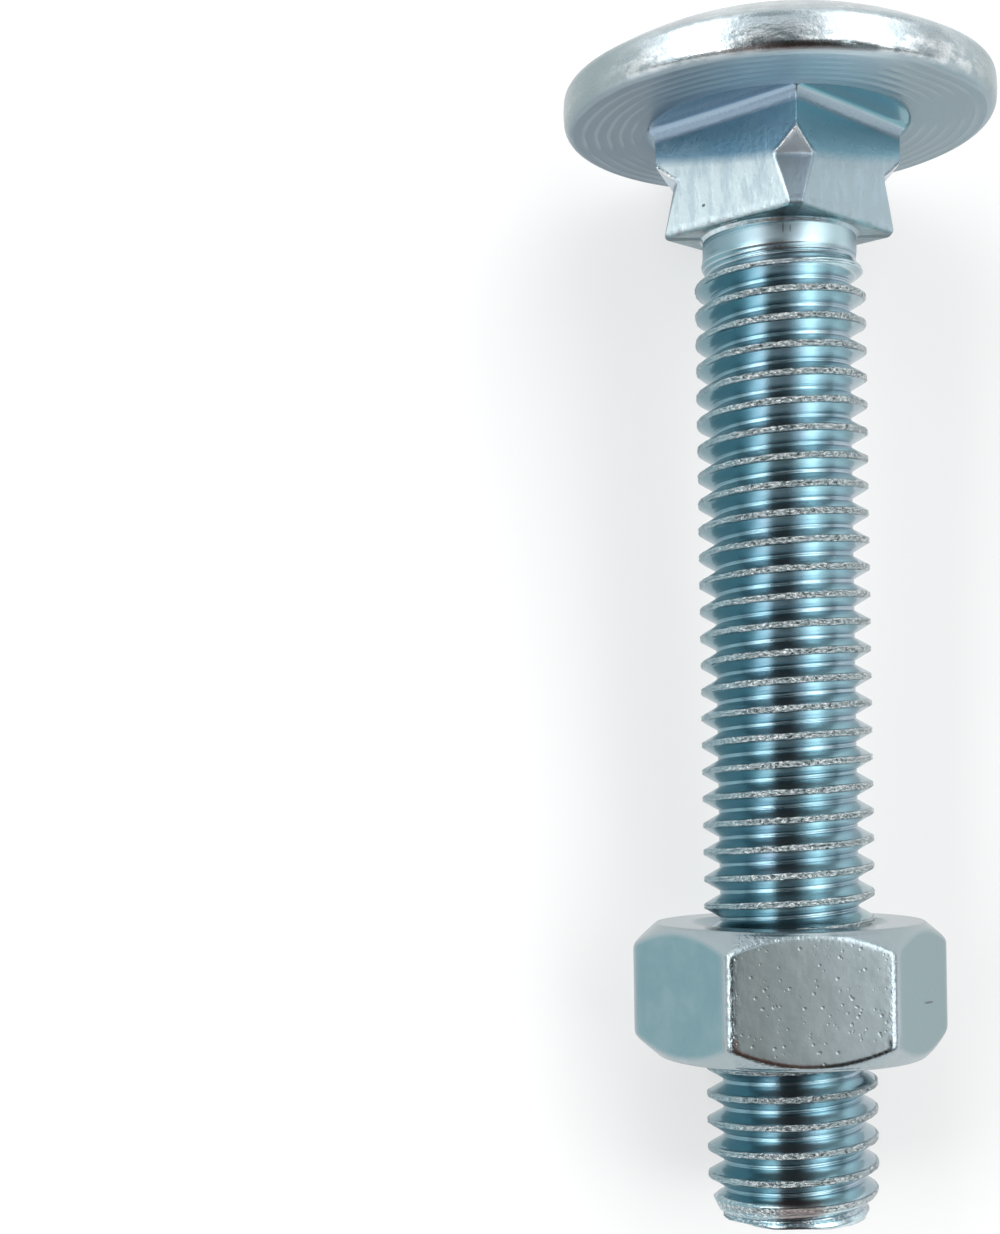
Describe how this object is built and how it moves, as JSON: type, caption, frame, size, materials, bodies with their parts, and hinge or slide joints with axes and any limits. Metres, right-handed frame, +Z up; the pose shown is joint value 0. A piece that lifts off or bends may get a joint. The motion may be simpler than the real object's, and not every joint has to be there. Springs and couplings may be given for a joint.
{
  "type": "carriage bolt with hex nut",
  "caption": "Steel carriage bolt with a shallow domed cup head, a square neck and a coarse right-hand thread, and a plain hex nut screwed on near its tip.",
  "frame": {"origin": "on the surface that the bolt lies on, below the middle of its whole length", "axes": "+X from the head towards the tip, level; +Z up; the bolt's own axis lies in the XZ plane and dips 4.7 degrees towards the tip"},
  "size_m": [0.0554, 0.0198, 0.0199],
  "materials": {
    "zinc_bolt": "bright zinc plating with a pale blue passivated sheen, turned rings under the head",
    "zinc_nut": "bright zinc plating with a pale blue passivated sheen, slightly pitted flats"
  },
  "bodies": {
    "bolt": {"bolt": "zinc_bolt"},
    "nut": {"nut": "zinc_nut"}
  },
  "joints": [
    {"name": "nut_travel", "type": "slide", "parent": "bolt", "child": "nut", "axis": [0.9967, 0, -0.0816], "range_m": [-0.02875, 0.015]}
  ]
}
